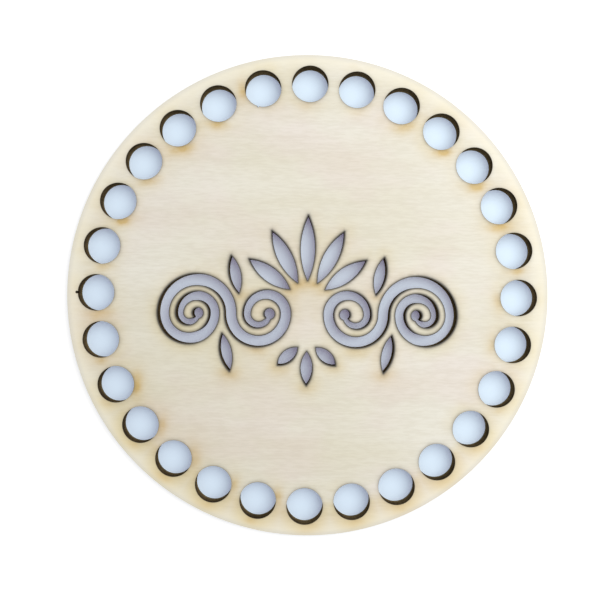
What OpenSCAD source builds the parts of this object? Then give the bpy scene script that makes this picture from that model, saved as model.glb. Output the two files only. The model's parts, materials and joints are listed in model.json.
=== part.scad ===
// Round drink coaster of three-ply birch plywood, cut right through by a ring of yarn holes
// and by a mirrored ornament of scrolls and leaves.
// The coaster lies flat on z = 0, with its centre on the Z axis and the face grain along X.

/* [Disc] */
// Diameter of the disc
disc_d = 100; // [92:1:140]

/* [Plywood] */
// Thickness of the face veneer, and of the back veneer
outer_veneer_t = 0.9; // [0.6:0.05:1.4]
// Thickness of the core veneer
core_veneer_t = 1; // [0.6:0.05:2]
// Thickness of each glue line
glue_t = 0.1; // [0.05:0.01:0.2]

/* [Yarn holes] */
// Diameter of each yarn hole
hole_d = 7.6; // [5:0.1:10]
// Wood left between a yarn hole and the rim of the disc
rim_w = 2.2; // [1.5:0.1:4]
// Least wood left between two neighbouring yarn holes
web_w = 2; // [1.2:0.1:4]

/* [Scrolls] */
// Height of the scrolls' axis above the centre of the disc
scroll_axis_y = -4; // [-8:0.5:0]
// Distance from the mirror line to the nearest crossing of the scrolls' axis
scroll_inset = 4.5; // [3.5:0.25:6]
// Largest half turn of the scroll near the mirror line
inner_scroll_d = 11.5; // [9:0.25:13]
// Largest half turn of the scroll near the rim
outer_scroll_d = 14; // [11:0.25:15]
// Loss of diameter from one half turn to the next one inside it
turn_step = 3.4; // [3.2:0.1:4.4]
// Least diameter of a half turn
eye_d = 3.6; // [3:0.1:5]
// Width of a scroll's stroke at its two ends
hairline_w = 0.9; // [0.6:0.05:1.2]
// Extra width of a scroll's stroke where it swells most
swell_w = 1.5; // [0.5:0.05:1.7]
// Diameter of the round bud at each end of a scroll
bud_d = 2.2; // [1.4:0.1:2.6]

/* [Leaves] */
// Leaves on each side of the crown's middle leaf
crown_side_leaves = 2; // [1:1:2]
// Height of the crown's centre above the scrolls' axis
crown_y = 2.5; // [1:0.25:4]
// Distance from the crown's centre to the foot of each of its leaves
crown_r = 4.6; // [4:0.2:6]
// Angle between two neighbouring leaves of the crown
crown_angle = 27; // [24:1:30]
// Length of the crown's middle leaf
crown_leaf_l = 13.5; // [9:0.25:16]
// Width of each leaf of the crown
crown_leaf_w = 3; // [2:0.1:3.4]
// Leaves on each side of the pendant's middle leaf
pendant_side_leaves = 1; // [0:1:1]
// Depth of the pendant's centre below the scrolls' axis
pendant_y = 5.2; // [4:0.2:7]
// Distance from the pendant's centre to the foot of each of its leaves
pendant_r = 2.6; // [2:0.2:4]
// Angle between two neighbouring leaves of the pendant
pendant_angle = 48; // [40:1:56]
// Length of the pendant's middle leaf
pendant_leaf_l = 7; // [4:0.2:9]
// Width of each leaf of the pendant
pendant_leaf_w = 2.4; // [1.4:0.1:2.8]
// Loss of length from one leaf of the crown or pendant to the next one beside it
leaf_step = 1.5; // [0:0.1:2]
// Distance from the scrolls' axis to the foot of each leaf between two scrolls
valley_r = 4.2; // [3.6:0.2:6]
// Lean of each leaf between two scrolls
valley_lean = 12; // [0:1:20]
// Length of each leaf between two scrolls
valley_leaf_l = 8; // [5:0.25:10]
// Width of each leaf between two scrolls
valley_leaf_w = 2.4; // [1.4:0.1:2.6]

/* [Hidden] */
$fn = 96;

// Colours of the layers
face_colour = [0.91, 0.87, 0.78];
core_colour = [0.80, 0.69, 0.50];
back_colour = [0.88, 0.82, 0.70];
glue_colour = [0.30, 0.19, 0.11];

// Yarn holes: as many as the ring has room for
ring_r = disc_d / 2 - rim_w - hole_d / 2;
hole_count = floor(180 / asin((hole_d + web_w) / (2 * ring_r)));

// Heights of the layers
back_z = 0;
lower_glue_z = back_z + outer_veneer_t;
core_z = lower_glue_z + glue_t;
upper_glue_z = core_z + core_veneer_t;
face_z = upper_glue_z + glue_t;

// Scroll: signed half turns along the axis, out of the inner eye, across and into the outer eye
inner_turns = 1 + floor((inner_scroll_d - eye_d) / turn_step);
outer_turns = 1 + floor((outer_scroll_d - eye_d) / turn_step);
function way(k) = k % 2 == 0 ? 1 : -1;
half_turns = concat(
    [for (k = [inner_turns - 1:-1:0]) way(k) * (inner_scroll_d - k * turn_step)],
    [for (k = [0:outer_turns - 1]) way(k) * (outer_scroll_d - k * turn_step)]
);
turn_count = len(half_turns);
function run(first, last) = first > last ? 0 : half_turns[first] + run(first + 1, last);
eye_x = scroll_inset - run(0, inner_turns - 2);

// Places and widths at the crossings fall on a fine grid, so that the arcs on both sides meet exactly
place_grid = 0.02;
width_grid = 2 * place_grid;
function snap(value, grid) = grid * round(value / grid);
function crossing_x(i) = snap(eye_x + run(0, i - 1), place_grid);
function crossing_w(i) = snap(hairline_w + swell_w * sin(180 * i / turn_count), width_grid);
function valley_x(i) = (crossing_x(i) + crossing_x(i + 2)) / 2;

// One half turn of a scroll's stroke, between two crossings of the axis
module half_turn(i) {
    x0 = crossing_x(i);
    x1 = crossing_x(i + 1);
    w0 = crossing_w(i);
    w1 = crossing_w(i + 1);
    span = abs(x1 - x0);
    mean_w = (w0 + w1) / 2;
    shift = sign(x1 - x0) * (w1 - w0) / 4;
    below = (i + inner_turns) % 2 == 1;
    translate([(x0 + x1) / 2, 0]) intersection() {
        difference() {
            translate([shift, 0]) circle(d = span + mean_w);
            translate([-shift, 0]) circle(d = span - mean_w);
        }
        translate([-span, below ? -span : 0]) square([2 * span, span]);
    }
}

// Scroll right of the mirror line, with a bud in each eye
module scroll() {
    for (i = [0:turn_count - 1]) half_turn(i);
    for (i = [0, turn_count]) translate([crossing_x(i), 0]) circle(d = bud_d);
}

// Leaf between two arcs, with its foot on the origin and its tip up
module leaf(l, w) {
    arc_r = (l * l + w * w) / (4 * w);
    translate([0, l / 2]) intersection() {
        translate([arc_r - w / 2, 0]) circle(r = arc_r);
        translate([w / 2 - arc_r, 0]) circle(r = arc_r);
    }
}

// Fan of leaves about the Y axis, with this many on each side of the middle one
module fan(side_count, angle, foot_r, l, w) {
    for (k = [-side_count:side_count])
        rotate(k * angle) translate([0, foot_r]) leaf(l - abs(k) * leaf_step, w);
}

// Scroll and its two leaves in the valleys above and below the crossing stroke
module scroll_with_leaves() {
    scroll();
    translate([valley_x(inner_turns - 2), valley_r])
        rotate(-valley_lean) leaf(valley_leaf_l, valley_leaf_w);
    translate([valley_x(inner_turns), -valley_r])
        rotate(180 - valley_lean) leaf(valley_leaf_l, valley_leaf_w);
}

// Whole ornament
module ornament() {
    translate([0, scroll_axis_y]) {
        scroll_with_leaves();
        mirror([1, 0]) scroll_with_leaves();
        translate([0, crown_y]) fan(crown_side_leaves, crown_angle, crown_r, crown_leaf_l, crown_leaf_w);
        translate([0, -pendant_y]) rotate(180)
            fan(pendant_side_leaves, pendant_angle, pendant_r, pendant_leaf_l, pendant_leaf_w);
    }
}

// Outline that every layer shares
module outline() {
    difference() {
        circle(d = disc_d);
        for (i = [0:hole_count - 1])
            rotate(90 - i * 360 / hole_count) translate([ring_r, 0]) circle(d = hole_d);
        ornament();
    }
}

module layer(z, t) { translate([0, 0, z]) linear_extrude(height = t) outline(); }

module face_veneer() { color(face_colour) layer(face_z, outer_veneer_t); }
module upper_glue_line() { color(glue_colour) layer(upper_glue_z, glue_t); }
module core_veneer() { color(core_colour) layer(core_z, core_veneer_t); }
module lower_glue_line() { color(glue_colour) layer(lower_glue_z, glue_t); }
module back_veneer() { color(back_colour) layer(back_z, outer_veneer_t); }

face_veneer();
upper_glue_line();
core_veneer();
lower_glue_line();
back_veneer();
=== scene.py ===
"""Birch plywood drink coaster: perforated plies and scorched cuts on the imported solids, in a plain studio."""

import functools
import json
import logging
import math
from dataclasses import dataclass, replace
from enum import Enum
from typing import Any

import bpy
import numpy as np
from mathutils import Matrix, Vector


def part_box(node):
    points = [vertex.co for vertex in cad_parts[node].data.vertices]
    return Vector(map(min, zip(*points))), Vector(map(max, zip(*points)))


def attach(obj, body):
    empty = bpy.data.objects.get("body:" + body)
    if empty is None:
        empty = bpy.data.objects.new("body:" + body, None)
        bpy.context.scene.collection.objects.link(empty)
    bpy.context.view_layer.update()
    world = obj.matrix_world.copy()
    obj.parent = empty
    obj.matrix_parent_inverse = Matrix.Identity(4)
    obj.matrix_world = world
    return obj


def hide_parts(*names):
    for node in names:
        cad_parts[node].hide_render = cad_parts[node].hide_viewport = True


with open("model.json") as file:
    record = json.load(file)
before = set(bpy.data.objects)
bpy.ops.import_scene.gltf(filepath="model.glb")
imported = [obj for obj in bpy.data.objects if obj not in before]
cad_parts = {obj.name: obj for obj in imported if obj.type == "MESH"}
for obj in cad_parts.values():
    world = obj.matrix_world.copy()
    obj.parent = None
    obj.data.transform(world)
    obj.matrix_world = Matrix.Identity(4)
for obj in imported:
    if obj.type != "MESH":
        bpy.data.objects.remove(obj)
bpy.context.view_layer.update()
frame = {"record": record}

log = logging.getLogger("coaster")

MM = 0.001
FULL_TURN = 2 * math.pi
# Furthest that a chord may lie inside its arc.
CHORD_ERROR = 0.003 * MM
# Point attribute that holds the smoke stains.
STAIN = "stain"

Socket = bpy.types.NodeSocket
Pair = tuple[float, float]
Point = tuple[float, float]
Loop = list[Point]
Triple = tuple[float, float, float]
Colour = tuple[float, float, float, float]

WHITE: Colour = (1.0, 1.0, 1.0, 1.0)
ORIGIN: Triple = (0.0, 0.0, 0.0)
# A place that no ply reaches.
FAR_OFF: Triple = (5.0, 5.0, 0.0)


def tint(red: int, green: int, blue: int) -> Colour:
    """Turn a screen colour into the linear colour that a shader takes.

    Args:
        red: Red, from 0 to 255.
        green: Green, from 0 to 255.
        blue: Blue, from 0 to 255.

    Returns:
        The linear colour, opaque.
    """
    def channel(value: int) -> float:
        """Linear value of one channel."""
        share = value / 255
        return share / 12.92 if share <= 0.04045 else ((share + 0.055) / 1.055) ** 2.4

    return channel(red), channel(green), channel(blue), 1.0


def linked(name: str, data: Any) -> bpy.types.Object:
    """Put a new object in the scene.

    Args:
        name: Name of the object.
        data: What it holds: a mesh, a camera or a lamp.

    Returns:
        The object, at the origin.
    """
    made = bpy.data.objects.new(name, data)
    bpy.context.scene.collection.objects.link(made)
    return made


class GrainAxis(Enum):
    """Way that the fibres of a veneer run, as a turn about Z."""

    ALONG_X = 0.0
    ALONG_Y = math.pi / 2


class Layer(Enum):
    """Layers of the board, by the names of their solids."""

    FACE_VENEER = "face_veneer"
    UPPER_GLUE_LINE = "upper_glue_line"
    CORE_VENEER = "core_veneer"
    LOWER_GLUE_LINE = "lower_glue_line"
    BACK_VENEER = "back_veneer"


class Value:
    """Output of a node, on which arithmetic adds Math nodes where it is a number."""

    def __init__(self, bench: "Bench", socket: Socket) -> None:
        """Wrap a socket of the bench's tree."""
        self.bench, self.socket = bench, socket

    def __add__(self, other: Any) -> "Value":
        """Sum with a value or a number."""
        return self.bench.math("ADD", self, other)

    def __sub__(self, other: Any) -> "Value":
        """Value less another, or less a number."""
        return self.bench.math("SUBTRACT", self, other)

    def __rsub__(self, other: float) -> "Value":
        """Number less the value."""
        return self.bench.math("SUBTRACT", other, self)

    def __mul__(self, other: Any) -> "Value":
        """Product with a value or a number."""
        return self.bench.math("MULTIPLY", self, other)

    def __truediv__(self, other: Any) -> "Value":
        """Value divided by another, or by a number."""
        return self.bench.math("DIVIDE", self, other)


class Bench:
    """Short forms for adding, setting and joining the nodes of one tree."""

    COLOUR_INPUTS = (6, 7)
    COLOUR_OUTPUT = 2
    NUMBER_RESULTS = ("LENGTH", "DISTANCE", "DOT_PRODUCT")

    def __init__(self, tree: bpy.types.NodeTree) -> None:
        """Work on this tree."""
        self.tree = tree

    def sockets(self, way: str, names: dict[str, tuple[str, ...]]) -> None:
        """Add named sockets to the tree's own interface.

        Args:
            way: INPUT or OUTPUT.
            names: Names of the sockets of each type, which is given without its common prefix.
        """
        for kind, labels in names.items():
            for label in labels:
                self.tree.interface.new_socket(name=label, in_out=way, socket_type=f"NodeSocket{kind}")

    def given(self) -> dict[str, Value]:
        """The tree's own inputs, by name."""
        return {socket.name: Value(self, socket) for socket in self.add("NodeGroupInput").outputs}

    def add(self, kind: str, inputs: dict[str | int, Any] | None = None, **settings: Any) -> bpy.types.Node:
        """Add one node.

        Args:
            kind: Blender's name for the node type.
            inputs: What goes into its sockets: another socket, or a constant.
            **settings: Properties of the node.

        Returns:
            The new node.
        """
        node = self.tree.nodes.new(kind)
        for name, value in settings.items():
            setattr(node, name, value)
        for name, value in (inputs or {}).items():
            self.feed(node.inputs[name], value)
        return node

    def feed(self, socket: Socket, value: Any) -> None:
        """Join a socket, or each of several, to an input, or set the input's own constant.

        Args:
            socket: The input.
            value: A value, a socket, a list of either, or a constant.
        """
        for one in value if isinstance(value, list) else [value]:
            source = one.socket if isinstance(one, Value) else one
            if isinstance(source, Socket):
                self.tree.links.new(source, socket)
            else:
                socket.default_value = source

    def value(self, kind: str, inputs: dict[str | int, Any] | None = None, output: str | int = 0,
              **settings: Any) -> Value:
        """One output of a new node."""
        return Value(self, self.add(kind, inputs, **settings).outputs[output])

    def math(self, operation: str, *values: Any, clamp: bool = False) -> Value:
        """Result of a Math node on values or numbers."""
        return self.value("ShaderNodeMath", dict(enumerate(values)), operation=operation, use_clamp=clamp)

    def fold(self, operation: str, values: list[Any]) -> Value:
        """Result of a Math operation over several values in turn, such as their MINIMUM."""
        return functools.reduce(lambda first, second: self.math(operation, first, second), values)

    def vector(self, operation: str, *values: Any) -> Value:
        """Result of a Vector Math node on values or triples."""
        output = "Value" if operation in self.NUMBER_RESULTS else "Vector"
        return self.value("ShaderNodeVectorMath", dict(enumerate(values)), output, operation=operation)

    def combine(self, x: Any = 0.0, y: Any = 0.0, z: Any = 0.0) -> Value:
        """Vector of three parts."""
        return self.value("ShaderNodeCombineXYZ", {0: x, 1: y, 2: z})

    def separate(self, vector: Any) -> list[Value]:
        """The three parts of a vector."""
        return [Value(self, socket) for socket in self.add("ShaderNodeSeparateXYZ", {0: vector}).outputs]

    def from_axis(self, place: Any) -> Value:
        """Distance of a place from the Z axis."""
        return self.vector("LENGTH", self.vector("MULTIPLY", place, (1.0, 1.0, 0.0)))

    def ramp(self, value: Any, low: Any, high: Any) -> Value:
        """Smooth step of a value from 0 at low to 1 at high, which may be the lesser one."""
        limits = {"Value": value, "From Min": low, "From Max": high, "To Min": 0.0, "To Max": 1.0}
        return self.value("ShaderNodeMapRange", limits, "Result", interpolation_type="SMOOTHSTEP")

    def mix(self, share: Any, first: Any, second: Any, blend: str = "MIX") -> Value:
        """Blend of two colours; MULTIPLY tints the first with the second."""
        inputs = {"Factor": share, **dict(zip(self.COLOUR_INPUTS, (first, second)))}
        return self.value("ShaderNodeMix", inputs, self.COLOUR_OUTPUT, data_type="RGBA", blend_type=blend)

    def noise(self, vector: Any, scale: Triple, detail: float = 2.0, rough: float = 0.5,
              shift: Triple = ORIGIN) -> Value:
        """Noise over a stretched and shifted space.

        Args:
            vector: Coordinates in metres.
            scale: Features for each metre along X, Y and Z.
            detail: Octaves of the noise.
            rough: Weight of the finer octaves.
            shift: Shift of the pattern, in features.

        Returns:
            The noise, from 0 to 1 with its mean near one half.
        """
        mapped = self.value("ShaderNodeMapping", {"Vector": vector, "Scale": scale, "Location": shift})
        inputs = {"Vector": mapped, "Scale": 1.0, "Detail": detail, "Roughness": rough}
        return self.value("ShaderNodeTexNoise", inputs, noise_dimensions="3D")


@dataclass(frozen=True)
class YarnHoles:
    """Ring of round holes for a yarn edging."""

    count: int
    ring_radius: float
    radius: float

    @classmethod
    def from_record(cls, record: dict[str, Any]) -> "YarnHoles":
        """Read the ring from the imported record.

        Args:
            record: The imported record.

        Returns:
            The ring, in metres.
        """
        dims = next(mount["dims"] for mount in record["mounts"] if mount["name"] == "yarn_holes")
        return cls(dims["count"], dims["pcd_mm"] * MM / 2, dims["hole_r_mm"] * MM)

    def centres(self) -> np.ndarray:
        """Centres of the holes, clockwise from the top, as rows of x and y."""
        turns = math.pi / 2 - np.arange(self.count) * FULL_TURN / self.count
        return self.ring_radius * np.stack([np.cos(turns), np.sin(turns)], axis=1)


def arc(centre: Point, radius: float, start: float, end: float) -> Loop:
    """Points along an arc, without its last one.

    Args:
        centre: Centre of the arc.
        radius: Radius of the arc.
        start: Angle of the first point.
        end: Angle at which the next arc begins.

    Returns:
        The points in order.
    """
    step = 2 * math.acos(1 - CHORD_ERROR / radius)
    count = max(2, math.ceil(abs(end - start) / step))
    angles = (start + (end - start) * k / count for k in range(count))
    return [(centre[0] + radius * math.cos(a), centre[1] + radius * math.sin(a)) for a in angles]


def placed(loop: Loop, turn: float = 0.0, at: Point = (0.0, 0.0)) -> Loop:
    """A loop turned about the origin and then moved."""
    cos, sin = math.cos(turn), math.sin(turn)
    return [(at[0] + x * cos - y * sin, at[1] + x * sin + y * cos) for x, y in loop]


@dataclass(frozen=True)
class Leaf:
    """Pointed leaf between two arcs, which a turn leans counterclockwise from upright."""

    foot: Point
    turn: float
    length: float
    width: float

    @property
    def radius(self) -> float:
        """Radius of both arcs."""
        return (self.length**2 + self.width**2) / (4 * self.width)

    def points(self) -> Loop:
        """Centres of its right and left arc, and the middle of the leaf."""
        aside, half = self.radius - self.width / 2, self.length / 2
        return placed([(-aside, half), (aside, half), (0.0, half)], self.turn, self.foot)

    def loop(self) -> Loop:
        """Outline of the leaf.

        Returns:
            The closed outline, up the right arc and down the left one.
        """
        right, left, _ = self.points()
        half = math.asin(self.length / 2 / self.radius)
        up = arc(right, self.radius, self.turn - half, self.turn + half)
        return up + arc(left, self.radius, self.turn + math.pi - half, self.turn + math.pi + half)


@dataclass(frozen=True)
class Fan:
    """Leaves that spread about the mirror line, a step shorter with each place from the middle one."""

    centre_y: float
    way: float
    side_leaves: int
    angle: float
    foot_radius: float
    leaf: Pair
    step: float = 1.5 * MM

    def leaves(self) -> list[Leaf]:
        """Leaves on both sides of the middle one.

        Returns:
            The leaves in order, from one side to the other.
        """
        found = []
        for k in range(-self.side_leaves, self.side_leaves + 1):
            turn = self.way + k * self.angle
            foot = (-self.foot_radius * math.sin(turn), self.centre_y + self.foot_radius * math.cos(turn))
            found.append(Leaf(foot, turn, self.leaf[0] - abs(k) * self.step, self.leaf[1]))
        return found


@dataclass(frozen=True)
class EdgeArc:
    """Arc along one edge of a scroll's stroke, about a centre on the scrolls' axis."""

    centre: float
    radius: float
    start: float
    end: float

    def point(self, angle: float) -> Point:
        """Place of the arc at an angle."""
        return self.centre + self.radius * math.cos(angle), self.radius * math.sin(angle)

    def meeting(self, x: float, radius: float) -> float:
        """Angle at which the arc meets a circle about another place on the axis.

        Args:
            x: Centre of the circle.
            radius: Radius of the circle.

        Returns:
            The angle, on the arc's own side of the axis.
        """
        gap = x - self.centre
        along = (gap**2 + self.radius**2 - radius**2) / (2 * gap)
        rise = math.sqrt(self.radius**2 - along**2)
        met = math.atan2(math.copysign(rise, math.sin((self.start + self.end) / 2)), along)
        return met + FULL_TURN if min(self.start, self.end) >= math.pi else met


@dataclass(frozen=True)
class HalfTurn:
    """Half turn of a scroll's stroke, with the place on the axis and the width at each end."""

    start: Pair
    end: Pair
    below: bool

    @property
    def forward(self) -> bool:
        """Whether it leads away from the mirror line."""
        return self.end[0] > self.start[0]

    @property
    def bends_left(self) -> bool:
        """Whether it runs counterclockwise, so that its inner edge is on the left."""
        return self.below == self.forward

    def edge(self, side: int) -> EdgeArc:
        """One edge of the half turn.

        Args:
            side: 1 for the outer edge, -1 for the inner one.

        Returns:
            The whole arc, from the start to the end.
        """
        (x0, w0), (x1, w1) = self.start, self.end
        shift = (w1 - w0) / 4 if self.forward else (w0 - w1) / 4
        radius = (abs(x1 - x0) + side * (w0 + w1) / 2) / 2
        start = math.pi if self.forward else 0.0
        end = start + math.pi if self.bends_left else start - math.pi
        return EdgeArc((x0 + x1) / 2 + side * shift, radius, start, end)


@dataclass(frozen=True)
class Ornament:
    """Mirrored scrolls with a crown, a pendant and leaves, cut right through the board."""

    axis_y: float = -4 * MM
    inset: float = 4.5 * MM
    inner_scroll: float = 11.5 * MM
    outer_scroll: float = 14 * MM
    turn_step: float = 3.4 * MM
    eye: float = 3.6 * MM
    hairline: float = 0.9 * MM
    swell: float = 1.5 * MM
    bud: float = 2.2 * MM
    crown: Fan = Fan(
        centre_y=2.5 * MM, way=0.0, side_leaves=2, angle=math.radians(27), foot_radius=4.6 * MM,
        leaf=(13.5 * MM, 3 * MM),
    )
    pendant: Fan = Fan(
        centre_y=-5.2 * MM, way=math.pi, side_leaves=1, angle=math.radians(48), foot_radius=2.6 * MM,
        leaf=(7 * MM, 2.4 * MM),
    )
    valley_radius: float = 4.2 * MM
    valley_lean: float = math.radians(12)
    valley_leaf: Pair = (8 * MM, 2.4 * MM)
    place_grid: float = 0.02 * MM

    @property
    def inner_turns(self) -> int:
        """Half turns of the scroll near the mirror line."""
        return 1 + math.floor((self.inner_scroll - self.eye) / self.turn_step)

    @property
    def outer_turns(self) -> int:
        """Half turns of the scroll near the rim."""
        return 1 + math.floor((self.outer_scroll - self.eye) / self.turn_step)

    def crossings(self) -> list[Pair]:
        """Where the stroke crosses its axis, and how wide it is there.

        Returns:
            Pairs of x and width, from the inner eye to the outer eye.
        """
        def half_turn(largest: float, k: int) -> float:
            """Signed length of one half turn."""
            return (-1) ** k * (largest - k * self.turn_step)

        def snap(value: float, grid: float) -> float:
            """Nearest step of a grid."""
            return grid * math.floor(value / grid + 0.5)

        turns = [half_turn(self.inner_scroll, k) for k in reversed(range(self.inner_turns))]
        turns += [half_turn(self.outer_scroll, k) for k in range(self.outer_turns)]
        first = self.inset - sum(turns[: self.inner_turns - 1])
        found = []
        for i in range(len(turns) + 1):
            width = self.hairline + self.swell * math.sin(math.pi * i / len(turns))
            found.append((snap(first + sum(turns[:i]), self.place_grid), snap(width, 2 * self.place_grid)))
        return found

    def half_turns(self) -> list[HalfTurn]:
        """Half turns of the stroke.

        Returns:
            The half turns in order, from the inner eye to the outer eye.
        """
        marks = self.crossings()
        pairs = zip(marks, marks[1:])
        return [HalfTurn(a, b, (i + self.inner_turns) % 2 == 1) for i, (a, b) in enumerate(pairs)]

    def scroll(self) -> Loop:
        """Outline of the scroll right of the mirror line, with a round bud in each eye.

        Returns:
            The closed outline, clockwise, about the scrolls' axis.
        """
        turns, bud_radius = self.half_turns(), self.bud / 2
        inner_eye, outer_eye = turns[0].start[0], turns[-1].end[0]
        left = [turn.edge(-1 if turn.bends_left else 1) for turn in turns]
        right = [turn.edge(1 if turn.bends_left else -1) for turn in turns]
        for side in (left, right):
            side[0] = replace(side[0], start=side[0].meeting(inner_eye, bud_radius))
            side[-1] = replace(side[-1], end=side[-1].meeting(outer_eye, bud_radius))

        def bud_arc(x: float, came: Point, goes: Point) -> Loop:
            """Clockwise round a bud, from the end of one edge to the end of the other."""
            start, end = (math.atan2(point[1], point[0] - x) for point in (came, goes))
            return arc((x, 0.0), bud_radius, start, end - FULL_TURN if end > start else end)

        loop: Loop = []
        for edge in left:
            loop += arc((edge.centre, 0.0), edge.radius, edge.start, edge.end)
        loop += bud_arc(outer_eye, left[-1].point(left[-1].end), right[-1].point(right[-1].end))
        for edge in reversed(right):
            loop += arc((edge.centre, 0.0), edge.radius, edge.end, edge.start)
        return loop + bud_arc(inner_eye, right[0].point(right[0].start), left[0].point(left[0].start))

    def fans(self) -> list[Leaf]:
        """Leaves of the crown and of the pendant."""
        return self.crown.leaves() + self.pendant.leaves()

    def valley_leaves(self) -> list[Leaf]:
        """Leaves by the stroke between the two scrolls right of the mirror line.

        Returns:
            The leaf above the stroke, and the one below it.
        """
        marks = [x for x, _ in self.crossings()]
        upper = (marks[self.inner_turns - 2] + marks[self.inner_turns]) / 2
        lower = (marks[self.inner_turns] + marks[self.inner_turns + 2]) / 2
        return [
            Leaf((upper, self.valley_radius), -self.valley_lean, *self.valley_leaf),
            Leaf((lower, -self.valley_radius), math.pi - self.valley_lean, *self.valley_leaf),
        ]

    def loops(self) -> list[Loop]:
        """Outlines of all the cut-outs.

        Returns:
            The closed outlines, in the frame of the board.
        """
        right = [self.scroll()] + [leaf.loop() for leaf in self.valley_leaves()]
        left = [[(-x, y) for x, y in loop] for loop in right]
        middle = [leaf.loop() for leaf in self.fans()]
        return [placed(loop, at=(0.0, self.axis_y)) for loop in right + left + middle]


@dataclass(frozen=True)
class Outline:
    """What is cut in every ply: the rim, the ring of yarn holes and the ornament."""

    disc_radius: float
    holes: YarnHoles
    ornament: Ornament


@dataclass(frozen=True)
class PierceMark:
    """Notch that the beam left in the edge of a yarn hole as it went through."""

    hole: int
    angle: float
    radius: float
    depth: float

    def loop(self, holes: YarnHoles) -> Loop:
        """Outline of the notch.

        Args:
            holes: The ring of yarn holes.

        Returns:
            A circle across the hole's edge.
        """
        x, y = holes.centres()[self.hole]
        away = holes.radius + self.depth - self.radius
        centre = (x + away * math.cos(self.angle), y + away * math.sin(self.angle))
        return arc(centre, self.radius, 0.0, FULL_TURN)


def counterclockwise(loop: Loop) -> Loop:
    """A closed outline, turned round where it runs clockwise."""
    area = sum(a[0] * b[1] - b[0] * a[1] for a, b in zip(loop, loop[1:] + loop[:1]))
    return loop if area > 0 else loop[::-1]


def flat_faces(name: str, loops: list[Loop]) -> bpy.types.Object:
    """Object with one face inside each loop, which the ply's nodes extrude.

    Args:
        name: Name of the object.
        loops: Closed outlines, either way round.

    Returns:
        The object, with its faces up.
    """
    points: list[Triple] = []
    faces: list[range] = []
    for loop in loops:
        faces.append(range(len(points), len(points) + len(loop)))
        points += [(x, y, 0.0) for x, y in counterclockwise(loop)]
    mesh = bpy.data.meshes.new(name)
    mesh.from_pydata(points, [], faces)
    return linked(name, mesh)


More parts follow.
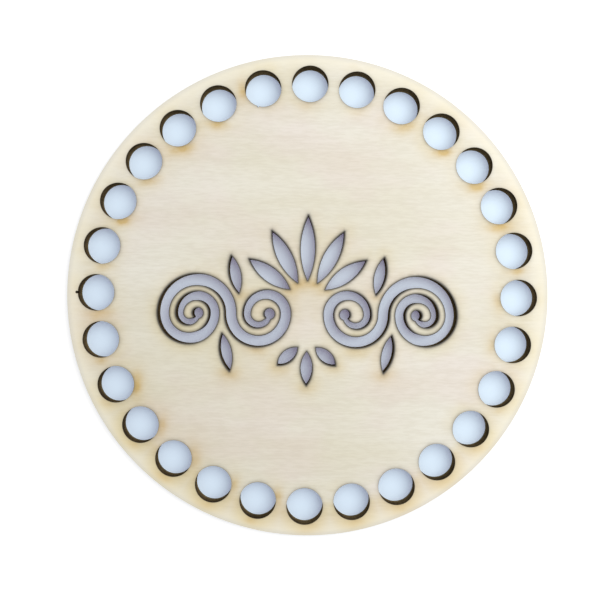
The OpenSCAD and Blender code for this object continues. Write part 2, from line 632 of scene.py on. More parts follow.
class PlyTree:
    """Geometry nodes that cut one ply out of a fine-meshed blank."""

    RIM_SIDES = 400
    HOLE_SIDES = 80
    BLANK_SPARE = 1.013
    CUT_SPARE = 1 * MM
    SHARP_EDGE = math.radians(35)
    WALL_NORMAL_Z = 0.5
    WELD_DISTANCE = 0.1 * CHORD_ERROR
    INPUTS = {
        "Float": ("Radius", "Base Height", "Thickness", "Cell", "Ring Radius", "Hole Radius"),
        "Int": ("Hole Count",),
        "Object": ("Cut-outs",),
        "Material": ("Face Finish", "Cut Finish"),
    }

    def __init__(self) -> None:
        """Build the tree once, for all the plies."""
        self.tree = bpy.data.node_groups.new("perforated_ply", "GeometryNodeTree")
        self.bench = Bench(self.tree)
        self.bench.sockets("INPUT", self.INPUTS)
        self.bench.sockets("OUTPUT", {"Geometry": ("Geometry",)})
        self.given = self.bench.given()
        self.build()

    def lifted(self, geometry: Value, height: Value) -> Value:
        """Geometry moved up to a height."""
        move = {"Geometry": geometry, "Translation": self.bench.combine(z=height)}
        return self.bench.value("GeometryNodeTransform", move)

    def cylinder(self, sides: int, radius: Value, depth: Value) -> Value:
        """Upright cylinder about the origin."""
        shape = {"Vertices": sides, "Radius": radius, "Depth": depth}
        return self.bench.value("GeometryNodeMeshCylinder", shape, "Mesh")

    def blank(self, middle: Value) -> Value:
        """Square sheet with a fine mesh, a little larger than the disc.

        Args:
            middle: Height of the middle of the ply.

        Returns:
            The sheet's mesh.
        """
        bench, given = self.bench, self.given
        side = given["Radius"] * (2 * self.BLANK_SPARE)
        count = bench.math("CEIL", side / given["Cell"]) + 1
        size = bench.combine(side, side, given["Thickness"])
        grid = {"Size": size, "Vertices X": count, "Vertices Y": count}
        return self.lifted(bench.value("GeometryNodeMeshCube", grid, "Mesh"), middle)

    def hole_cutters(self, middle: Value, depth: Value) -> Value:
        """Round cutters, one instance for each yarn hole of the ring.

        Args:
            middle: Height of the middle of the ply.
            depth: Length of each cutter.

        Returns:
            The cutters as one mesh.
        """
        bench, given = self.bench, self.given
        circle = {"Vertices": given["Hole Count"], "Radius": given["Ring Radius"]}
        ring = self.lifted(bench.value("GeometryNodeMeshCircle", circle), middle)
        cutter = self.cylinder(self.HOLE_SIDES, given["Hole Radius"], depth)
        cutters = bench.value("GeometryNodeInstanceOnPoints", {"Points": ring, "Instance": cutter})
        return bench.value("GeometryNodeRealizeInstances", {0: cutters})

    def prism_cutters(self, depth: Value) -> Value:
        """Prisms over the faces of the ornament and of the pierce marks.

        Args:
            depth: Length of each prism.

        Returns:
            The closed prisms as one mesh.
        """
        bench, given = self.bench, self.given
        faces = bench.value("GeometryNodeObjectInfo", {"Object": given["Cut-outs"]}, "Geometry")
        low = self.lifted(faces, given["Base Height"] - self.CUT_SPARE)
        rise = {"Mesh": low, "Offset": (0.0, 0.0, 1.0), "Offset Scale": depth, "Individual": False}
        up = bench.value("GeometryNodeExtrudeMesh", rise, "Mesh")
        under = bench.value("GeometryNodeFlipFaces", {0: low})
        both = bench.value("GeometryNodeJoinGeometry", {0: [up, under]})
        return bench.value("GeometryNodeMergeByDistance", {0: both, "Distance": self.WELD_DISTANCE})

    def build(self) -> None:
        """Join the steps: blank, disc, cuts, shading and finishes."""
        bench, given = self.bench, self.given
        middle = given["Thickness"] * 0.5 + given["Base Height"]
        depth = given["Thickness"] + 2 * self.CUT_SPARE
        rim = self.lifted(self.cylinder(self.RIM_SIDES, given["Radius"], depth), middle)
        disc = bench.value(
            "GeometryNodeMeshBoolean", {"Mesh 2": [self.blank(middle), rim]},
            operation="INTERSECT", solver="MANIFOLD",
        )
        cutters = [self.hole_cutters(middle, depth), self.prism_cutters(depth)]
        cut = bench.value(
            "GeometryNodeMeshBoolean", {"Mesh 1": disc, "Mesh 2": cutters},
            operation="DIFFERENCE", solver="MANIFOLD",
        )

        *_, rise = bench.separate(bench.value("GeometryNodeInputNormal"))
        wall = bench.math("LESS_THAN", bench.math("ABSOLUTE", rise), self.WALL_NORMAL_Z)
        bend = bench.value("GeometryNodeInputMeshEdgeAngle", output="Unsigned Angle")
        sharp = bench.math("GREATER_THAN", bend, self.SHARP_EDGE)
        smooth = bench.value("GeometryNodeSetShadeSmooth", {"Geometry": cut, "Shade Smooth": True})
        crisp = bench.value(
            "GeometryNodeSetShadeSmooth", {"Geometry": smooth, "Selection": sharp, "Shade Smooth": False},
            domain="EDGE",
        )
        whole = bench.value("GeometryNodeRealizeInstances", {0: crisp})
        faced = bench.value("GeometryNodeSetMaterial", {0: whole, "Material": given["Face Finish"]})
        burnt = bench.value(
            "GeometryNodeSetMaterial", {0: faced, "Selection": wall, "Material": given["Cut Finish"]}
        )
        bench.add("NodeGroupOutput", {0: burnt})

    def cut(self, name: str, values: dict[str, Any]) -> bpy.types.Object:
        """Evaluate the tree for one ply.

        Args:
            name: Name of the piece.
            values: Value for each named input.

        Returns:
            A plain mesh object at the origin.
        """
        host = linked(f"{name}_blank", bpy.data.meshes.new(f"{name}_blank"))
        modifier = host.modifiers.new("perforated_ply", "NODES")
        modifier.node_group = self.tree
        for item in self.tree.interface.items_tree:
            if item.in_out == "INPUT":
                modifier[item.identifier] = values[item.name]
        depsgraph = bpy.context.evaluated_depsgraph_get()
        mesh = bpy.data.meshes.new_from_object(host.evaluated_get(depsgraph))
        bpy.data.objects.remove(host)
        mesh.name = name
        for index in reversed(range(len(mesh.materials))):
            if mesh.materials[index] is None:
                mesh.materials.pop(index=index)
        return linked(name, mesh)


class ShadeGroups:
    """Shader groups that the finishes share, each built once."""

    # Noise values between which each mark comes in.
    TONE_RANGE = (0.2, 0.8)
    ROSY_RANGE = (0.42, 0.66)
    FLECK_RANGE = (0.66, 0.8)
    CLUSTER_RANGE = (0.42, 0.62)
    FIBRE_RANGE = (0.36, 0.66)
    SOOT_RANGE = (0.3, 0.9)
    # Weights of the marks.
    BAND_WEIGHT = 0.8
    STREAK_SHARE = 0.35
    FLECK_WEIGHT = 0.7
    FIBRE_RELIEF, MARK_RELIEF = -0.8, -0.4
    LINE_SOOT, LAYER_SOOT, CLOUD_SOOT = 0.35, 0.25, 0.6
    LINE_RELIEF, LAYER_RELIEF = 0.7, 0.3
    HAZE_UNEVENNESS = 1.8
    RIM_CHAR = 0.25
    PATCH_LIFT = 0.4
    # Factor and offset of what a noise spreads.
    WOOD_ROUGHNESS = (0.16, 0.56)
    CUT_ROUGHNESS = (0.22, 0.5)
    HAZE_MOTTLE = (0.5, -0.75)
    CHAR_MOTTLE = (1.2, 0.4)
    # Where each effect begins and is whole: from a patch's middle, along Y, and in from the rim.
    PATCH_REACH = (55 * MM, 20 * MM)
    LOW_SIDE = (-15 * MM, -35 * MM)
    RING_MARGIN = (8 * MM, 4 * MM)
    CRUST_MARGIN = (11 * MM, 15 * MM)
    CHAR_MARGIN = (2 * MM, 15 * MM)

    def __init__(self, outline: Outline) -> None:
        """Build the groups.

        Args:
            outline: What is cut in every ply.
        """
        self.cuts = self.cut_map(outline)
        self.grain = self.birch_grain()
        self.rim = self.pale_rim()
        self.scorch = self.laser_scorch()
        self.char = self.charred_cut()

    @staticmethod
    def start(name: str, inputs: dict[str, tuple[str, ...]],
              outputs: dict[str, tuple[str, ...]]) -> tuple[Bench, dict[str, Value]]:
        """Begin a group.

        Args:
            name: Name of the group.
            inputs: Names of the inputs of each type.
            outputs: Names of the outputs of each type.

        Returns:
            A bench on the new tree, and the tree's inputs.
        """
        bench = Bench(bpy.data.node_groups.new(name, "ShaderNodeTree"))
        bench.sockets("INPUT", inputs)
        bench.sockets("OUTPUT", outputs)
        return bench, bench.given()

    def cut_map(self, outline: Outline) -> bpy.types.NodeTree:
        """Distance from the nearest cut and from the rim, over a face of the board.

        Args:
            outline: What is cut in every ply.

        Returns:
            The group.
        """
        holes, ornament = outline.holes, outline.ornament
        bench, given = self.start(
            "cut_map", {"Vector": ("Vector",)}, {"Float": ("Cut Distance", "Rim Distance")}
        )
        x, y, _ = bench.separate(given["Vector"])
        radius = bench.from_axis(given["Vector"])
        step = FULL_TURN / holes.count
        aside = bench.math("WRAP", bench.math("ARCTAN2", x, y), step / 2, -step / 2)
        in_step = bench.combine(*(radius * bench.math(way, aside) for way in ("SINE", "COSINE")))
        height = y - ornament.axis_y
        folded = bench.combine(bench.math("ABSOLUTE", x), height)

        def beyond(place: Value, centre: Point, size: float) -> Value:
            """Distance out of a circle, negative inside it."""
            return bench.vector("DISTANCE", place, (*centre, 0.0)) - size

        turns = ornament.half_turns()
        upper, lower = (
            bench.fold("MINIMUM", [
                bench.math("ABSOLUTE", beyond(folded, (edge.centre, 0.0), edge.radius))
                for turn in turns if turn.below == below
                for edge in (turn.edge(1), turn.edge(-1))
            ])
            for below in (False, True)
        )
        over = bench.math("GREATER_THAN", height, 0.0)
        gaps = [beyond(in_step, (0.0, holes.ring_radius), holes.radius), over * (upper - lower) + lower]
        eyes = (turns[0].start[0], turns[-1].end[0])
        gaps += [beyond(folded, (eye, 0.0), ornament.bud / 2) for eye in eyes]
        right_half = [leaf for leaf in ornament.fans() if leaf.foot[0] > -CHORD_ERROR]
        for leaf in ornament.valley_leaves() + right_half:
            right, left, middle = leaf.points()
            outside = [beyond(folded, centre, leaf.radius) for centre in (right, left)]
            from_middle = bench.vector("SUBTRACT", folded, (*middle, 0.0))
            axis = (-math.sin(leaf.turn), math.cos(leaf.turn), 0.0)
            along = bench.math("ABSOLUTE", bench.vector("DOT_PRODUCT", from_middle, axis))
            gaps.append(bench.fold("MAXIMUM", [*outside, along - leaf.length / 2]))
        bench.add("NodeGroupOutput", {
            "Cut Distance": bench.math("MAXIMUM", bench.fold("MINIMUM", gaps), 0.0),
            "Rim Distance": outline.disc_radius - radius,
        })
        return bench.tree

    def birch_grain(self) -> bpy.types.NodeTree:
        """Figure of peeled birch: broad bands, fine streaks, fibres and flecks along X, plus a painted light
        falloff across the face.

        Returns:
            The group.
        """
        bench, given = self.start(
            "birch_grain",
            {"Vector": ("Vector", "Tone Drift", "Pale Patch"), "Color": ("Pale", "Warm", "Streak", "Blush"),
             "Float": ("Contrast",)},
            {"Color": ("Color",), "Float": ("Relief", "Roughness")},
        )
        place = given["Vector"]
        blotch = bench.noise(place, (22.0, 34.0, 30.0), detail=3.0, shift=(3.1, 7.4, 0.0))
        bands = bench.noise(place, (14.0, 110.0, 40.0), detail=3.0, rough=0.6, shift=(0.0, 1.7, 0.0))
        streaks = bench.noise(place, (70.0, 800.0, 200.0), detail=3.0, rough=0.6, shift=(5.0, 0.0, 0.0))
        fibres = bench.noise(place, (430.0, 2500.0, 900.0), rough=0.6)
        rosy = bench.noise(place, (50.0, 80.0, 60.0), detail=3.0, shift=(4.0, 2.0, 7.0))
        flecks = bench.noise(place, (600.0, 5200.0, 900.0), detail=1.0, shift=(0.0, 0.0, 9.0))
        clusters = bench.noise(place, (60.0, 60.0, 60.0), shift=(2.0, 0.0, 4.0))

        # Painted light falloff: the wood darker and warmer away from the lamp, where a finish sets a drift.
        drift = bench.vector("DOT_PRODUCT", place, given["Tone Drift"])
        patch = bench.ramp(bench.vector("DISTANCE", place, given["Pale Patch"]), *self.PATCH_REACH)
        tone_and_painted_light = (bands - 0.5) * self.BAND_WEIGHT + blotch + drift - patch * self.PATCH_LIFT
        plain = bench.mix(bench.ramp(tone_and_painted_light, *self.TONE_RANGE), given["Pale"], given["Warm"])
        base = bench.mix(bench.ramp(rosy, *self.ROSY_RANGE), plain, given["Blush"], "MULTIPLY")
        fine = streaks * self.STREAK_SHARE + fibres * (1 - self.STREAK_SHARE)
        dark = bench.ramp(fine, *self.FIBRE_RANGE) * given["Contrast"]
        specks = bench.ramp(flecks, *self.FLECK_RANGE) * bench.ramp(clusters, *self.CLUSTER_RANGE)
        drawn = bench.math("MULTIPLY_ADD", specks, self.FLECK_WEIGHT, dark, clamp=True)
        bench.add("NodeGroupOutput", {
            "Color": bench.mix(drawn, base, given["Streak"], "MULTIPLY"),
            "Relief": fibres * self.FIBRE_RELIEF + drawn * self.MARK_RELIEF,
            "Roughness": bench.math("MULTIPLY_ADD", fine, *self.WOOD_ROUGHNESS),
        })
        return bench.tree

    def pale_rim(self) -> bpy.types.NodeTree:
        """Lighter wood along the rim as painted glare from the white surround, and a greyer band along the very
        edge.

        Returns:
            The group.
        """
        bench, given = self.start(
            "pale_rim",
            {"Color": ("Color", "Rim Pale", "Edge"),
             "Float": ("Distance", "Rim Reach", "Rim Strength", "Edge Reach")},
            {"Color": ("Color",)},
        )
        near = bench.ramp(given["Distance"], given["Rim Reach"], 0.0) * given["Rim Strength"]
        painted_glare = bench.mix(near, given["Color"], given["Rim Pale"])
        edge_band = bench.ramp(given["Distance"], given["Edge Reach"], 0.0)
        bench.add("NodeGroupOutput", {"Color": bench.mix(edge_band, painted_glare, given["Edge"], "MULTIPLY")})
        return bench.tree

    def laser_scorch(self) -> bpy.types.NodeTree:
        """Heat about the cuts: a yellow haze, amber smoke stains and a dark line, least towards the rim; the
        dark line is partly char and partly painted shade at the cut's edge.

        On the low side of the ring the haze leans towards the rim.

        Returns:
            The group.
        """
        bench, given = self.start(
            "laser_scorch",
            {"Color": ("Color", "Haze", "Amber", "Char"), "Vector": ("Vector", "Haze Drift"),
             "Float": ("Distance", "Margin", "Stain", "Haze Reach", "Haze Lean", "Char Reach", "Char Crust",
                       "Char Strength")},
            {"Color": ("Color",)},
        )
        place, margin = given["Vector"], given["Margin"]
        uneven = bench.noise(place, (70.0, 70.0, 70.0), detail=3.0, rough=0.6, shift=(1.0, 6.0, 2.0))
        mottled = bench.noise(place, (420.0, 520.0, 420.0), detail=3.0, rough=0.65)

        share = given["Distance"] / given["Haze Reach"]
        fall = bench.math("EXPONENT", share * share * -1.0)
        drift = bench.vector("DOT_PRODUCT", place, given["Haze Drift"])
        low = bench.ramp(bench.separate(place)[1], *self.LOW_SIDE)
        lean = low * (bench.ramp(margin, *self.RING_MARGIN) - 0.5) * given["Haze Lean"]
        mean = bench.math("MULTIPLY_ADD", mottled, *self.HAZE_MOTTLE) + drift + lean
        strength = bench.math("MULTIPLY_ADD", uneven, self.HAZE_UNEVENNESS, mean, clamp=True)
        hazed = bench.mix(fall * strength, given["Color"], given["Haze"], "MULTIPLY")

        cloud = bench.math("MULTIPLY", given["Stain"], mottled + 0.5, clamp=True)
        stained = bench.mix(cloud, hazed, given["Amber"], "MULTIPLY")

        # The dark line along each cut is partly char and partly painted shade at the cut's edge.
        reach = given["Char Reach"] * bench.math("MULTIPLY_ADD", mottled, *self.CHAR_MOTTLE)
        crust = bench.ramp(margin, *self.CRUST_MARGIN) * given["Char Crust"]
        away = bench.math("MAXIMUM", given["Distance"] - crust, 0.0)
        line = bench.math("EXPONENT", away / reach * -1.0)
        side = bench.ramp(margin, *self.CHAR_MARGIN) * (1 - self.RIM_CHAR) + self.RIM_CHAR
        char_and_painted_shade = line * side * given["Char Strength"]
        bench.add("NodeGroupOutput", {"Color": bench.mix(char_and_painted_shade, stained, given["Char"])})
        return bench.tree

    def charred_cut(self) -> bpy.types.NodeTree:
        """Burnt wall of a cut: upright lines left by the beam, and soot in soft clouds.

        Returns:
            The group.
        """
        bench, given = self.start(
            "charred_cut",
            {"Vector": ("Vector",), "Color": ("Brown", "Soot")},
            {"Color": ("Color",), "Float": ("Relief", "Roughness")},
        )
        place = given["Vector"]
        lines = bench.noise(place, (2600.0, 2600.0, 90.0), detail=3.0, rough=0.6)
        layers = bench.noise(place, (260.0, 260.0, 5200.0), rough=0.6, shift=(0.0, 4.0, 0.0))
        cloud = bench.noise(place, (240.0, 240.0, 420.0), shift=(8.0, 1.0, 0.0))
        marks = lines * self.LINE_SOOT + layers * self.LAYER_SOOT + cloud * self.CLOUD_SOOT
        soot = bench.ramp(marks, *self.SOOT_RANGE)
        bench.add("NodeGroupOutput", {
            "Color": bench.mix(soot, given["Brown"], given["Soot"]),
            "Relief": lines * self.LINE_RELIEF + layers * self.LAYER_RELIEF,
            "Roughness": bench.math("MULTIPLY_ADD", soot, *self.CUT_ROUGHNESS),
        })
        return bench.tree


class Finish:
    """Base of the finishes: a material with a Principled shader and coordinates."""

    GLOSS = "Specular IOR Level"

    name: str
    gloss: float
    relief_depth: float
    relief_strength: float

    @staticmethod
    def start(name: str) -> tuple[bpy.types.Material, Bench, bpy.types.Node]:
        """Begin a material.

        Args:
            name: Name of the material.

        Returns:
            The material, a bench on its tree and its shader node.
        """
        material = bpy.data.materials.new(name)
        material.use_nodes = True
        material.node_tree.nodes.clear()
        bench = Bench(material.node_tree)
        shader = bench.add("ShaderNodeBsdfPrincipled")
        bench.add("ShaderNodeOutputMaterial", {"Surface": shader.outputs[0]})
        return material, bench, shader

    @staticmethod
    def place(bench: Bench, turn: float = 0.0, shift: Triple = ORIGIN) -> Value:
        """Object coordinates, turned and shifted.

        Args:
            bench: Bench on the material's tree.
            turn: Turn about Z.
            shift: Shift in metres.

        Returns:
            The coordinates.
        """
        own = bench.value("ShaderNodeTexCoord", output="Object")
        move = {"Vector": own, "Location": shift, "Rotation": (0.0, 0.0, turn)}
        return bench.value("ShaderNodeMapping", move)

    def group(self, bench: Bench, tree: bpy.types.NodeTree, **joined: Any) -> Any:
        """Add a shared group, with the finish's own fields in the inputs that bear their names.

        Args:
            bench: Bench on the material's tree.
            tree: The group.
            **joined: What is joined to the other inputs, by name.

        Returns:
            The outputs of the group's node.
        """
        node = bench.add("ShaderNodeGroup", node_tree=tree)
        for socket in node.inputs:
            label = socket.name.lower().replace(" ", "_")
            bench.feed(socket, joined[label] if label in joined else getattr(self, label))
        return node.outputs

    def look(self, bench: Bench, groups: ShadeGroups) -> tuple[Any, Any]:
        """Colour of the finish, and the group outputs that hold its relief and roughness."""
        raise NotImplementedError

    def material(self, groups: ShadeGroups) -> bpy.types.Material:
        """Build the material.

        Args:
            groups: The shared shader groups.

        Returns:
            The material.
        """
        material, bench, shader = self.start(self.name)
        colour, surface = self.look(bench, groups)
        bump = bench.value("ShaderNodeBump", {
            "Height": surface["Relief"], "Distance": self.relief_depth, "Strength": self.relief_strength,
        })
        bench.feed(shader.inputs["Base Color"], colour)
        bench.feed(shader.inputs["Roughness"], surface["Roughness"])
        bench.feed(shader.inputs["Normal"], bump)
        shader.inputs[self.GLOSS].default_value = self.gloss
        return material


@dataclass(frozen=True)
class BirchFinish(Finish):
    """Sanded birch veneer, toasted about its cuts."""

    name: str
    axis: GrainAxis
    shift: Triple
    pale: Colour
    warm: Colour
    streak: Colour
    contrast: float
    haze: Colour
    amber: Colour
    char: Colour
    haze_reach: float
    char_reach: float
    char_crust: float = 0.14 * MM
    char_strength: float = 0.95
    blush: Colour = (1.0, 0.965, 1.0, 1.0)
    tone_drift: Triple = ORIGIN
    pale_patch: Triple = FAR_OFF
    haze_drift: Triple = ORIGIN
    haze_lean: float = 0.0
    # Painted glare: the wood is lighter within a few millimetres of the rim.
    rim_pale: Colour = tint(252, 246, 226)
    rim_reach: float = 5 * MM
    rim_strength: float = 0.75
    edge: Colour = (0.88, 0.89, 0.93, 1.0)
    edge_reach: float = 1.2 * MM
    gloss: float = 0.3
    relief_depth: float = 0.02 * MM
    relief_strength: float = 0.35

    def look(self, bench: Bench, groups: ShadeGroups) -> tuple[Any, Any]:
        """Join the groups: grain with its painted light falloff, then the rim with its painted glare, then what
        the beam's heat left, whose dark line is partly painted shade.

        Args:
            bench: Bench on the material's tree.
            groups: The shared shader groups.

        Returns:
            The colour, and the outputs of the grain.
        """
        place = self.place(bench, self.axis.value, self.shift)
        stain = bench.value("ShaderNodeAttribute", output="Fac", attribute_name=STAIN)
        cuts = self.group(bench, groups.cuts, vector=self.place(bench))
        grain = self.group(bench, groups.grain, vector=place)
        margin = cuts["Rim Distance"]
        rim = self.group(bench, groups.rim, color=grain["Color"], distance=margin)
        scorch = self.group(
            bench, groups.scorch, color=rim["Color"], vector=place, distance=cuts["Cut Distance"],
            margin=margin, stain=stain,
        )
        return scorch["Color"], grain


@dataclass(frozen=True)
class CharFinish(Finish):
    """Wall of a cut, burnt brown to black."""

    name: str
    brown: Colour
    soot: Colour
    relief_depth: float
    relief_strength: float = 0.5
    gloss: float = 0.0

    def look(self, bench: Bench, groups: ShadeGroups) -> tuple[Any, Any]:
        """Colour of the char, and the outputs of its group."""
        char = self.group(bench, groups.char, vector=self.place(bench))
        return char["Color"], char


@dataclass(frozen=True)
class Draught:
    """Stretch of the ring whose holes share a side that the smoke was drawn to."""

    first: int
    last: int
    angle: float
    strength: float


@dataclass(frozen=True)
class Stain:
    """Soft oval that lies across the way the smoke went."""

    x: float
    y: float
    angle: float
    depth: float
    width: float
    strength: float

    def over(self, places: np.ndarray) -> np.ndarray:
        """Strength of the stain at each place.

        Args:
            places: Rows of x and y.

        Returns:
            One strength for each row.
        """
        dx, dy = places[:, 0] - self.x, places[:, 1] - self.y
        along = dx * math.cos(self.angle) + dy * math.sin(self.angle)
        across = dy * math.cos(self.angle) - dx * math.sin(self.angle)
        return self.strength * np.exp(-((along / self.depth) ** 2 + (across / self.width) ** 2) / 2)


@dataclass(frozen=True)
class SmokeStains:
    """Amber stains where smoke met the face, most on one side of each yarn hole and at the leaves' tips."""

    draughts: tuple[Draught, ...] = (
        Draught(0, 1, math.radians(-95), 0.35),
        Draught(2, 6, math.radians(-80), 0.85),
        Draught(7, 8, math.radians(185), 0.35),
        Draught(9, 14, math.radians(-75), 0.35),
        Draught(15, 19, math.radians(8), 0.8),
        Draught(20, 22, math.radians(-77), 0.55),
        Draught(23, 26, math.radians(-77), 0.8),
        Draught(27, 27, math.radians(190), 0.85),
        Draught(15, 19, math.radians(-108), 0.4),
    )
    depth: float = 0.75 * MM
    width: float = 1.3 * MM
    stand_off: float = 0.45 * MM
    halo_size: float = 2.3
    halo_share: float = 0.3
    jitter: float = math.radians(6)
    size_range: Pair = (0.75, 1.3)
    weight_range: Pair = (0.65, 1.2)
    tip_strength: float = 0.35
    seed: int = 7

    def stains(self, outline: Outline) -> list[Stain]:
        """Stains of the yarn holes and of the ornament's lowest tips.

        Args:
            outline: What is cut in every ply.

        Returns:
            Each stain, followed by its fainter halo.
        """
        draw = np.random.default_rng(self.seed)
        centres = outline.holes.centres()
        away = outline.holes.radius + self.stand_off
        seats = []
        for draught in self.draughts:
            for x, y in centres[draught.first : draught.last + 1]:
                angle = draught.angle + draw.normal(0.0, self.jitter)
                seat = (x + away * math.cos(angle), y + away * math.sin(angle))
                seats.append((*seat, angle, draught.strength))
        for loop in outline.ornament.loops():
            x, y = min(loop, key=lambda point: point[1])
            seats.append((x, y - self.stand_off, -math.pi / 2, self.tip_strength))
        found = []
        for x, y, angle, strength in seats:
            size = draw.uniform(*self.size_range)
            weight = strength * draw.uniform(*self.weight_range)
            found.append(Stain(x, y, angle, self.depth * size, self.width * size, weight))
            size *= self.halo_size
            found.append(Stain(x, y, angle, self.depth * size, self.width * size, weight * self.halo_share))
        return found

    def paint(self, piece: bpy.types.Object, outline: Outline, share: float) -> None:
        """Store the stains on a piece as a point attribute.

        Args:
            piece: The piece to paint.
            outline: What is cut in every ply.
            share: Factor on all strengths.
        """
        mesh = piece.data
        corners = np.empty(len(mesh.vertices) * 3)
        mesh.vertices.foreach_get("co", corners)
        places = corners.reshape(-1, 3)[:, :2]
        total = share * sum(stain.over(places) for stain in self.stains(outline))
        layer = mesh.attributes.new(STAIN, "FLOAT", "POINT")
        layer.data.foreach_set("value", total)


@dataclass(frozen=True)
class Ply:
    """One layer of the board."""

    layer: Layer
    slot: str
    face: Finish
    cut: Finish
    cell: float
    stain_share: float = 0.0
    pierced: bool = False


@dataclass
class Coaster:
    """The whole coaster: five plies with one outline."""

    outline: Outline
    stains: SmokeStains
    plies: tuple[Ply, ...]
    pierce_marks: tuple[PierceMark, ...] = (
        PierceMark(hole=21, angle=math.radians(180), radius=0.3 * MM, depth=0.5 * MM),
        PierceMark(hole=27, angle=math.radians(-105), radius=0.2 * MM, depth=0.3 * MM),
    )

    def cut_outs(self, ply: Ply) -> bpy.types.Object:
        """Faces of the ornament, and of the pierce marks in a ply that has them.

        Args:
            ply: The ply that is cut.

        Returns:
            The object with the faces.
        """
        loops = self.outline.ornament.loops()
        if ply.pierced:
            loops += [mark.loop(self.outline.holes) for mark in self.pierce_marks]
        return flat_faces("cut_outs", loops)

    def build(self) -> list[bpy.types.Object]:
        """Cut, dress and seat every ply.

        Returns:
            The finished pieces, in the order of the plies.
        """
        holes = self.outline.holes
        groups, tree = ShadeGroups(self.outline), PlyTree()
        made: dict[str, bpy.types.Material] = {}
        pieces = []
        for ply in self.plies:
            node = ply.layer.value
            low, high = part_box(node)
            cut_outs = self.cut_outs(ply)
            for finish in (ply.face, ply.cut):
                if finish.name not in made:
                    made[finish.name] = finish.material(groups)
            piece = tree.cut(f"{node}_board", {
                "Radius": self.outline.disc_radius,
                "Base Height": low.z,
                "Thickness": high.z - low.z,
                "Cell": ply.cell,
                "Hole Count": holes.count,
                "Ring Radius": holes.ring_radius,
                "Hole Radius": holes.radius,
                "Cut-outs": cut_outs,
                "Face Finish": made[ply.face.name],
                "Cut Finish": made[ply.cut.name],
            })
            bpy.data.objects.remove(cut_outs)
            self.stains.paint(piece, self.outline, ply.stain_share)
            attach(piece, "root")
            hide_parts(node)
            log.info("%s: %d faces", piece.name, len(piece.data.polygons))
            pieces.append(piece)
        return pieces


@dataclass(frozen=True)
class Studio:
    """Plain white floor with painted bluish shade and light under the coaster, soft light from the upper right
    and a camera straight above.
    """

    SEEN_RAYS = ("Is Camera Ray", "Is Glossy Ray", "Is Transmission Ray")

    camera_place: Triple = (-1.53 * MM, -1.03 * MM, 141.75 * MM)
    camera_turn: float = math.radians(0.77)
    lens: float = 40.0
    sensor: float = 36.0
    clip_start: float = 5 * MM
    ambient: float = 0.52
    key_place: Triple = (0.1, 0.06, 0.2)
    key_size: float = 0.3
    key_power: float = 0.388
    floor_size: float = 4.0
    floor_drop: float = 0.02 * MM
    floor_rough: float = 0.9
    # Painted shade and light under the coaster: a bluish floor colour and a camera-only glow, the glow dimmer
    # under the ornament's narrow cuts.
    near_colour: Colour = (0.78, 0.94, 0.98, 1.0)
    inner_glow: Colour = (0.13, 0.10, 0.176, 1.0)
    near_glow: Colour = (0.14, 0.15, 0.25, 1.0)
    far_colour: Colour = (0.80, 0.80, 0.80, 1.0)
    far_glow: Colour = (0.54, 0.54, 0.54, 1.0)
    inner_reach: Pair = (32 * MM, 39 * MM)
    near_reach: Pair = (48 * MM, 52 * MM)

    def build(self) -> None:
        """Make the camera, the light and the floor."""
        scene = bpy.context.scene
        scene.view_settings.view_transform = "Standard"
        self.add_camera(scene)
        self.add_world(scene)
        self.add_key()
        self.add_floor()

    def add_camera(self, scene: bpy.types.Scene) -> None:
        """Hang the camera over the coaster.

        Args:
            scene: The scene that looks through it.
        """
        lens = bpy.data.cameras.new("camera")
        lens.lens, lens.sensor_width, lens.clip_start = self.lens, self.sensor, self.clip_start
        camera = linked("camera", lens)
        camera.location = self.camera_place
        camera.rotation_euler = (0.0, 0.0, self.camera_turn)
        scene.camera = camera

    def seen(self, bench: Bench) -> Value:
        """Mask that is 1 for rays from the camera, straight or by way of gloss or glass."""
        path = bench.add("ShaderNodeLightPath").outputs
        return bench.fold("MAXIMUM", [path[ray] for ray in self.SEEN_RAYS])

    def add_world(self, scene: bpy.types.Scene) -> None:
        """Give the scene a white surrounding that lights it softly.

        Args:
            scene: The scene.
        """
        world = bpy.data.worlds.new("studio")
        world.use_nodes = True
        world.node_tree.nodes.clear()
        bench = Bench(world.node_tree)
        strength = self.seen(bench) * (1 - self.ambient) + self.ambient
        sky = bench.value("ShaderNodeBackground", {"Color": WHITE, "Strength": strength})
        bench.add("ShaderNodeOutputWorld", {"Surface": sky})
        scene.world = world

    def add_key(self) -> None:
        """Hang a soft lamp at the upper right."""
        lamp = bpy.data.lights.new("key", "AREA")
        lamp.shape, lamp.size, lamp.energy = "DISK", self.key_size, self.key_power
        key = linked("key", lamp)
        key.location = self.key_place
        key.rotation_euler = (-key.location).to_track_quat("-Z", "Y").to_euler()

    def add_floor(self) -> None:
        """Lay a pale floor, white about the coaster; under it a bluish colour and a glow seen only by the
        camera are painted shade and light where it shows through the cuts.
        """
        half = self.floor_size / 2
        square = ((-half, -half), (half, -half), (half, half), (-half, half))
        corners = [(x, y, -self.floor_drop) for x, y in square]
        mesh = bpy.data.meshes.new("floor")
        mesh.from_pydata(corners, [], [(0, 1, 2, 3)])
        material, bench, shader = Finish.start("floor_white")
        radius = bench.from_axis(Finish.place(bench))
        far = bench.ramp(radius, *self.near_reach)
        # Painted light: a glow seen only by the camera, dimmer under the ornament as painted shade.
        painted_light = bench.mix(bench.ramp(radius, *self.inner_reach), self.inner_glow, self.near_glow)
        bench.feed(shader.inputs["Base Color"], bench.mix(far, self.near_colour, self.far_colour))
        shader.inputs["Roughness"].default_value = self.floor_rough
        shader.inputs[Finish.GLOSS].default_value = 0.0
        bench.feed(shader.inputs["Emission Color"], bench.mix(far, painted_light, self.far_glow))
        bench.feed(shader.inputs["Emission Strength"], self.seen(bench))
        mesh.materials.append(material)
        linked("floor", mesh)


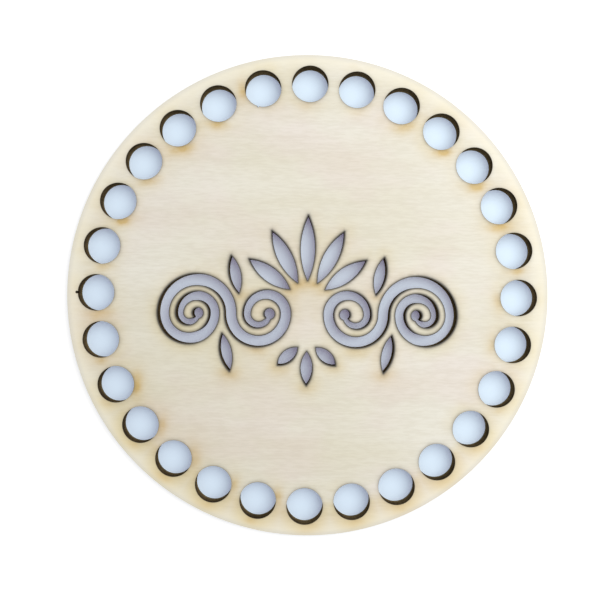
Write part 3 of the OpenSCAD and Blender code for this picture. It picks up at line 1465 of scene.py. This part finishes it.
FACE_BIRCH = BirchFinish(
    "face_birch", GrainAxis.ALONG_X, ORIGIN,
    pale=tint(239, 235, 222), warm=tint(229, 223, 202), streak=(0.93, 0.92, 0.9, 1.0), contrast=0.9,
    # The face's neutral grey char colour paints a line at the cuts that is partly char and partly shade.
    haze=(0.95, 0.88, 0.69, 1.0), amber=(0.84, 0.66, 0.36, 1.0), char=tint(74, 72, 68),
    haze_reach=2.2 * MM, char_reach=0.28 * MM,
    # The drift here paints the face darker and warmer towards the left, away from the lamp at the right:
    # painted light falloff.
    tone_drift=(-5.0, 0.5, 0.0), pale_patch=(-60 * MM, 22 * MM, 0.0), haze_drift=(0.0, -5.0, 0.0),
    haze_lean=1.2,
)
BACK_BIRCH = BirchFinish(
    "back_birch", GrainAxis.ALONG_X, (0.31, 0.17, 0.05),
    pale=tint(232, 225, 209), warm=tint(224, 213, 190), streak=(0.92, 0.89, 0.84, 1.0), contrast=1.0,
    haze=(0.82, 0.68, 0.46, 1.0), amber=(0.7, 0.5, 0.27, 1.0), char=tint(78, 55, 37),
    haze_reach=2.4 * MM, char_reach=0.3 * MM,
)
CORE_BIRCH = BirchFinish(
    "core_birch", GrainAxis.ALONG_Y, (0.12, 0.4, 0.2),
    pale=tint(226, 213, 188), warm=tint(216, 198, 166), streak=(0.9, 0.86, 0.8, 1.0), contrast=1.0,
    haze=(0.8, 0.66, 0.45, 1.0), amber=(0.7, 0.5, 0.3, 1.0), char=tint(70, 48, 32),
    haze_reach=1.5 * MM, char_reach=0.3 * MM,
)
# The cut walls lighten from the face ply down to the back ply: partly less char lower in the cut, partly
# painted bounce light from the floor.
FACE_CUT = CharFinish("burnt_face_edge", tint(97, 83, 61), tint(47, 41, 32), 0.03 * MM)
CORE_CUT = CharFinish("burnt_core_edge", tint(112, 93, 66), tint(57, 48, 36), 0.05 * MM)
BACK_CUT = CharFinish("burnt_back_edge", tint(143, 122, 87), tint(76, 64, 45), 0.03 * MM)
GLUE_CUT = CharFinish("burnt_glue_edge", tint(54, 42, 30), tint(28, 22, 16), 0.02 * MM)

FINE_CELL = 0.53 * MM
COARSE_CELL = 4 * MM

PLIES = (
    Ply(Layer.FACE_VENEER, "birch_face", FACE_BIRCH, FACE_CUT, FINE_CELL, stain_share=1.0, pierced=True),
    Ply(Layer.UPPER_GLUE_LINE, "glue_line", GLUE_CUT, GLUE_CUT, COARSE_CELL),
    Ply(Layer.CORE_VENEER, "birch_core", CORE_BIRCH, CORE_CUT, COARSE_CELL),
    Ply(Layer.LOWER_GLUE_LINE, "glue_line", GLUE_CUT, GLUE_CUT, COARSE_CELL),
    Ply(Layer.BACK_VENEER, "birch_back", BACK_BIRCH, BACK_CUT, FINE_CELL, stain_share=1.3),
)


def main() -> None:
    """Build the studio and the coaster."""
    logging.basicConfig(level=logging.INFO, format="%(name)s: %(message)s")
    Studio().build()
    disc_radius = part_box(Layer.FACE_VENEER.value)[1].x
    outline = Outline(disc_radius, YarnHoles.from_record(frame["record"]), Ornament())
    pieces = Coaster(outline, SmokeStains(), PLIES).build()
    log.info("%d pieces in place", len(pieces))


if __name__ == "__main__":
    main()
